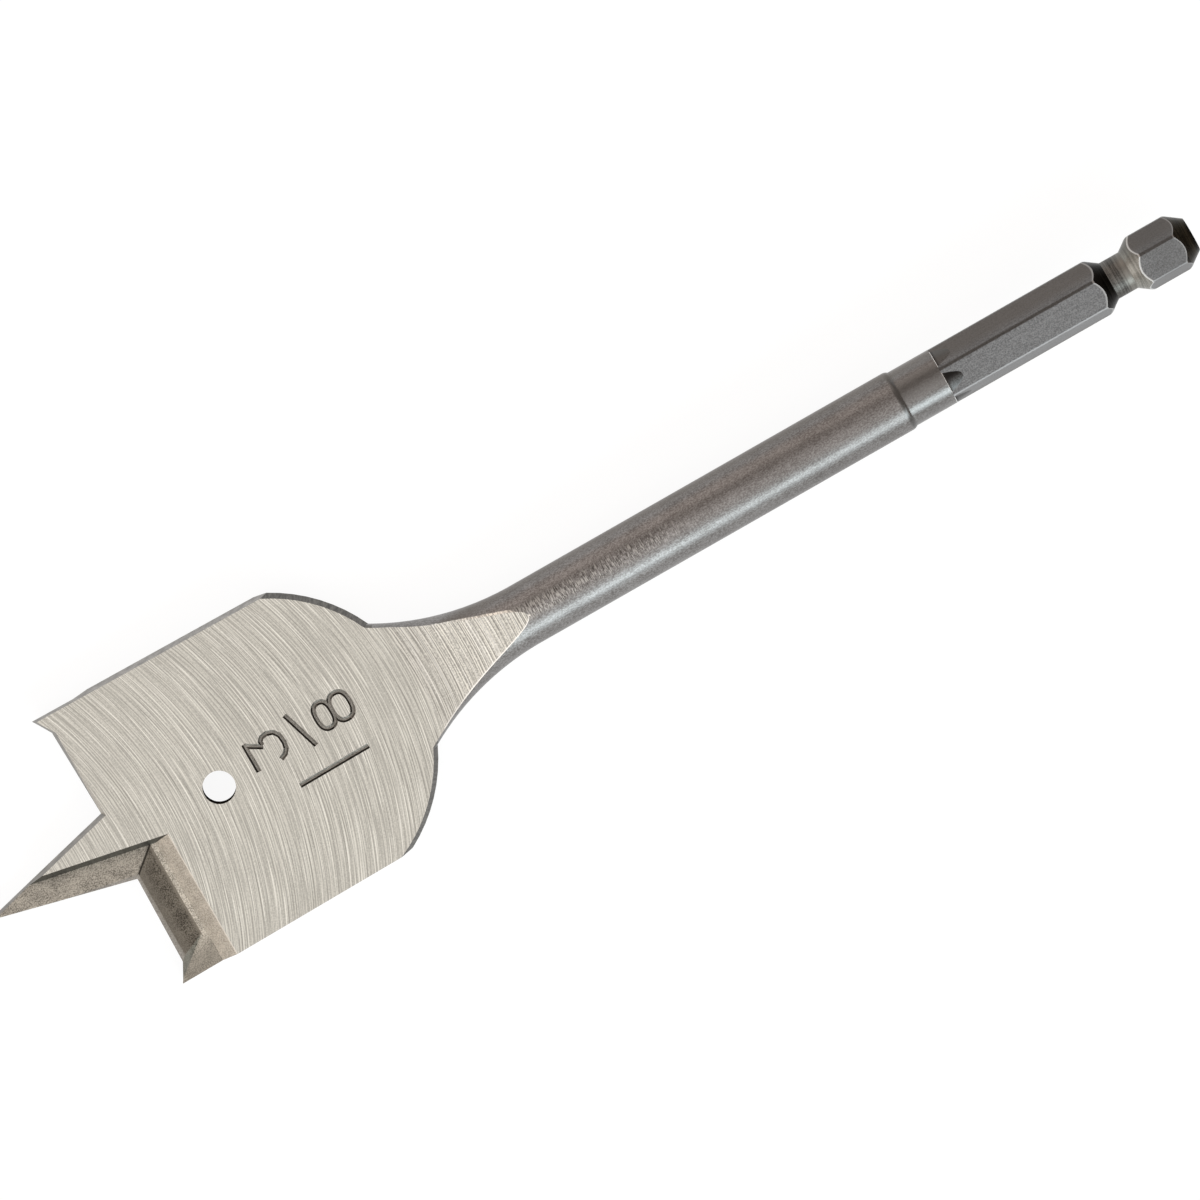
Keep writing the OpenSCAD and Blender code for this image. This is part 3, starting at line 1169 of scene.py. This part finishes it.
FINISHES: dict[Region, Finish] = {
    Region.FACE: GroundFinish(),
    Region.RAMP: GroundFinish(
        (0.31, 0.301, 0.275), (0.77, 0.75, 0.688),
        # Painted shade across the start of the ramp
        (EdgeTrace(-101.4, 0.0, 90.0, 3.8, (0.31, 0.301, 0.275), 0.28),),
        # The ramp carries a painted highlight along its edge at the neck's flank
        bright=(0.98, 0.97, 0.93), arc_y=0.5, edge_highlight=0.85,
    ),
    # The coined recess areas share one skin; their tones differ partly in the metal and partly as painted
    # light and shade for how each slope faces the lamps
    Region.FACET: CoinedFinish(
        (0.33, 0.305, 0.262), (0.58, 0.537, 0.463),
        # Painted highlight along the recess's rear edge
        (EdgeTrace(-136.64, 0.0, 90.0, 0.14, (0.80, 0.77, 0.71), 0.7),),
    ),
    Region.FLOOR: CoinedFinish(
        (0.20, 0.186, 0.159), (0.64, 0.595, 0.513),
        # Painted shade over the lower end of the floor, in the spur pocket
        (EdgeTrace(-139.0, -17.4, 0.0, 5.0, (0.15, 0.136, 0.113), 0.6),),
    ),
    Region.RAKE: CoinedFinish(
        (0.06, 0.053, 0.044), (0.24, 0.217, 0.18),
        (
            # Painted light along the lip's edge and along the rake's inner edge, and the mitre's painted
            # shade
            EdgeTrace(-142.1, 0.0, 90.0, 1.7, (0.20, 0.184, 0.156), 0.6),
            EdgeTrace(-139.1, 0.0, 90.0, 0.5, (0.30, 0.27, 0.225), 0.6),
            MITRE_SHADE,
        ),
    ),
    Region.POINT: CoinedFinish((0.185, 0.178, 0.157), (0.55, 0.53, 0.47), (MITRE_SHADE,)),
    Region.LAND: CoinedFinish(
        (0.20, 0.192, 0.176), (0.34, 0.326, 0.299),
        # Painted shade where the land rounds over towards the rake
        (EdgeTrace(-141.95, 0.0, 90.0, 0.4, (0.17, 0.154, 0.128), 0.3),),
    ),
    Region.WALL: CoinedFinish((0.07, 0.066, 0.058), (0.15, 0.142, 0.127)),
    Region.RIM: RimFinish((0.05, 0.047, 0.042), (0.16, 0.152, 0.138), teeth=4.0),
    Region.SIDE: RimFinish((0.17, 0.16, 0.147), (0.32, 0.305, 0.283), teeth=1.4),
    Region.FLANK: RimFinish((0.12, 0.111, 0.098), (0.25, 0.232, 0.205), teeth=3.0),
    Region.HOLE: TurnedFinish((0.01, 0.009, 0.008), (0.05, 0.047, 0.042), metallic=0.0),
    Region.NECK: ForgedFinish(traces=(SHANK_TOP_SHADE, TONGUE), hatch=0.75),
    Region.SHANK: ForgedFinish(
        traces=(
            # Painted shade: darker towards the collar, a darker band above the middle, and the lamp's
            # highlight dimmed
            EdgeTrace(-42.0, 0.0, 90.0, 34.0, SHADE, 0.18),
            EdgeTrace(-60.0, 1.4, 0.0, 0.5, SHADE, 0.15),
            EdgeTrace(-60.0, -2.05, 0.0, 0.4, (0.13, 0.125, 0.125), 0.22),
            SHANK_TOP_SHADE,
            TONGUE,
        ),
        hatch=0.75,
    ),
    Region.COLLAR: ForgedFinish(
        (0.155, 0.15, 0.146), (0.265, 0.26, 0.256),
        (
            # Painted shade: a dark line at the step, darker bands over the upper half and along the top,
            # and the lamp's highlight dimmed
            EdgeTrace(-38.55, 0.0, 90.0, 0.5, (0.035, 0.033, 0.03), 0.55),
            EdgeTrace(-36.0, 0.35, 0.0, 1.5, COLLAR_SHADE, 0.55),
            EdgeTrace(-36.0, 1.6, 0.0, 1.0, COLLAR_SHADE, 0.65),
            EdgeTrace(-36.0, 3.5, 0.0, 1.1, (0.12, 0.10, 0.08), 0.5),
            EdgeTrace(-36.0, -1.9, 0.0, 0.4, (0.13, 0.126, 0.126), 0.3),
        ),
        roughness=0.34, relief=0.006,
    ),
    Region.HEX: HEX_FINISH,
    Region.TURNED: TurnedFinish(
        (0.045, 0.043, 0.04), (0.18, 0.175, 0.163),
        # Painted light on the groove's floor next to the wall that faces the tip
        (EdgeTrace(-8.4, 0.0, 90.0, 1.3, (0.26, 0.25, 0.225), 0.6),),
        roughness=0.48,
    ),
    # Painted shade: the groove's wall that faces the hex end is made nearly black
    Region.SHADED: TurnedFinish((0.002, 0.0018, 0.0015), (0.012, 0.011, 0.009)),
    # Painted light: the groove's wall that faces the tip is made lighter, with painted shade towards its
    # top
    Region.LIT: TurnedFinish(
        (0.16, 0.158, 0.143), (0.36, 0.352, 0.318),
        (EdgeTrace(-7.5, 3.4, 0.0, 2.6, (0.10, 0.095, 0.085), 0.8),),
    ),
    # Painted shade: the end chamfer, which faces away from the lamps, is made nearly black
    Region.CHAMFER: TurnedFinish((0.001, 0.001, 0.001), (0.035, 0.029, 0.019), along=4.5),
    Region.MARK: CoinedFinish((0.14, 0.133, 0.12), (0.30, 0.286, 0.258), grain=MARK_GRAIN),
    # Painted shade and painted light on the walls of the strokes
    Region.MARK_SHADED: CoinedFinish((0.015, 0.014, 0.012), (0.06, 0.056, 0.049), grain=MARK_GRAIN),
    Region.MARK_LIT: CoinedFinish((0.36, 0.344, 0.31), (0.60, 0.574, 0.52), grain=MARK_GRAIN),
    # Painted shade: the run-out cones are made dark, darkest in a band along their middle and in a line at
    # the seat
    Region.SEAT: DrawnFinish(
        (0.055, 0.054, 0.053), (0.11, 0.109, 0.108),
        (
            EdgeTrace(-32.0, 0.2, 0.0, 1.2, (0.015, 0.014, 0.013), 0.95),
            EdgeTrace(-32.0, 2.6, 0.0, 1.0, (0.115, 0.11, 0.104), 0.8),
            EdgeTrace(-33.0, 0.0, 90.0, 0.4, (0.03, 0.028, 0.026), 0.8),
        ),
    ),
    # Painted highlight: the edge break at the hex seat is made nearly white, though it faces away from the
    # lamps
    Region.BREAK: DrawnFinish((0.75, 0.75, 0.74), (0.92, 0.92, 0.91), roughness=0.6),
    Region.CORNER: HEX_FINISH,
}


@dataclass(frozen=True)
class SoftBox:
    """A soft studio lamp that faces the bit."""

    name: str
    toward: tuple[float, float, float]
    distance: float
    width: float
    height: float
    radiance: float
    tint: Color = (1.0, 1.0, 1.0)

    def build(self, target: Vector) -> None:
        """Makes the lamp.

        Args:
            target: Where the lamp points.
        """
        lamp = bpy.data.lights.new(self.name, "AREA")
        lamp.shape = "RECTANGLE"
        lamp.size = self.width
        lamp.size_y = self.height
        lamp.energy = self.radiance * math.pi * self.width * self.height
        lamp.color = self.tint
        holder = put(self.name, lamp)
        ray = Vector(self.toward).normalized()
        holder.location = target + ray * self.distance
        holder.rotation_euler = ray.to_track_quat("Z", "Y").to_euler()
        holder.visible_camera = False


@dataclass
class Studio:
    """Floor, lamps and camera."""

    target: Vector = field(default_factory=lambda: Vector((-80.06, -2.85, 0.0)) * MM)
    camera_distance: float = 1.26
    frame_width: float = 0.1384
    sensor_width: float = 36.0
    clip_end: float = 50.0
    tilt_x_deg: float = 0.9
    tilt_y_deg: float = 4.8
    axis_angle_deg: float = 29.725
    floor_span: float = 12.0
    floor_color: Color = (0.11, 0.11, 0.11)
    floor_glow: float = 0.91
    floor_roughness: float = 0.9
    world_color: Color = (0.57, 0.495, 0.45)
    neck_contact: Place = (-88.0, -3.725)
    lip_contact: Place = (-143.8, -1.6)
    lamps: tuple[SoftBox, ...] = (
        SoftBox("overhead_box", (-0.22, -0.12, 1.0), 1.9, 1.7, 1.5, 0.95),
        SoftBox("strip_box", (0.12, -0.84, 0.54), 1.3, 1.9, 0.5, 5.0, (0.82, 0.95, 1.0)),
        SoftBox("tip_box", (-0.86, -0.1, 0.55), 1.4, 1.3, 0.7, 1.3),
        SoftBox("far_side_box", (0.1, 0.88, 0.45), 1.6, 1.9, 0.75, 0.72, (1.0, 0.90, 0.84)),
    )

    def build(self) -> None:
        """Sets the stage: a dim warm surround, the floor, the lamps and the camera."""
        scene = bpy.context.scene
        scene.view_settings.view_transform = "Standard"
        scene.world = bpy.data.worlds.new("surround")
        scene.world.use_nodes = True
        background = scene.world.node_tree.nodes["Background"]
        background.inputs["Color"].default_value = (*self.world_color, 1.0)
        background.inputs["Strength"].default_value = 1.0
        self._floor()
        for lamp in self.lamps:
            lamp.build(self.target)
        scene.camera = self._camera()

    def _floor(self) -> None:
        """A pale floor under the bit, as it lies on its neck and on its lips."""
        (neck_x, neck_z), (lip_x, lip_z) = self.neck_contact, self.lip_contact
        lean = math.atan2(lip_z - neck_z, neck_x - lip_x)
        half = self.floor_span / 2.0
        mesh = bpy.data.meshes.new("floor")
        corners = [(-half, -half, 0.0), (half, -half, 0.0), (half, half, 0.0), (-half, half, 0.0)]
        mesh.from_pydata(corners, [], [(0, 1, 2, 3)])
        place = Matrix.Translation(Vector((neck_x, 0.0, neck_z)) * MM) @ Matrix.Rotation(lean, 4, "Y")
        mesh.transform(place)
        floor = put("floor", mesh)
        mesh.materials.append(self._floor_material())

    def _floor_material(self) -> Material:
        """Matte paper, white to the eye and in the bit's reflections, that still takes the bit's shadow.

        Returns:
            The material.
        """
        desk = NodeDesk("pale_floor")
        path = desk.tree.nodes.new("ShaderNodeLightPath").outputs
        seen = path["Is Camera Ray"]
        for name in ("Is Glossy Ray", "Is Transmission Ray"):
            seen = desk.math("MAXIMUM", seen, path[name])
        desk.shader.inputs["Emission Color"].default_value = (1.0, 1.0, 1.0, 1.0)
        glow = desk.math("MULTIPLY", seen, self.floor_glow)
        desk.tree.links.new(glow, desk.shader.inputs["Emission Strength"])
        return desk.finish((*self.floor_color, 1.0), self.floor_roughness, 0.0)

    def _camera(self) -> Object:
        """The camera, above the bit and turned so that the drill axis rises to the right.

        Returns:
            The camera.
        """
        lean_x, lean_y = (math.tan(math.radians(deg)) for deg in (self.tilt_x_deg, self.tilt_y_deg))
        toward = Vector((lean_x, lean_y, 1.0)).normalized()
        axis = Vector((1.0, 0.0, 0.0))
        axis = (axis - axis.dot(toward) * toward).normalized()
        right = Matrix.Rotation(-math.radians(self.axis_angle_deg), 3, toward) @ axis
        up = toward.cross(right)
        lens = bpy.data.cameras.new("camera")
        lens.sensor_fit = "HORIZONTAL"
        lens.sensor_width = self.sensor_width
        lens.lens = self.sensor_width * self.camera_distance / self.frame_width
        lens.clip_end = self.clip_end
        camera = put("camera", lens)
        turn = Matrix((right, up, toward)).transposed().to_4x4()
        camera.matrix_world = Matrix.Translation(self.target + toward * self.camera_distance) @ turn
        return camera


def main() -> None:
    """Builds the bit and the studio."""
    logging.basicConfig(level=logging.INFO, format="%(name)s: %(message)s")
    bit = SpadeBit()
    piece = bit.build(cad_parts["spade_bit"])
    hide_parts("spade_bit")
    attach(piece, "root")
    LOG.info("forged_bit: %d faces, %d finishes", len(piece.data.polygons), len(piece.data.materials))
    studio = Studio()
    studio.build()
    LOG.info("studio: %d lamps", len(studio.lamps))


if __name__ == "__main__":
    main()
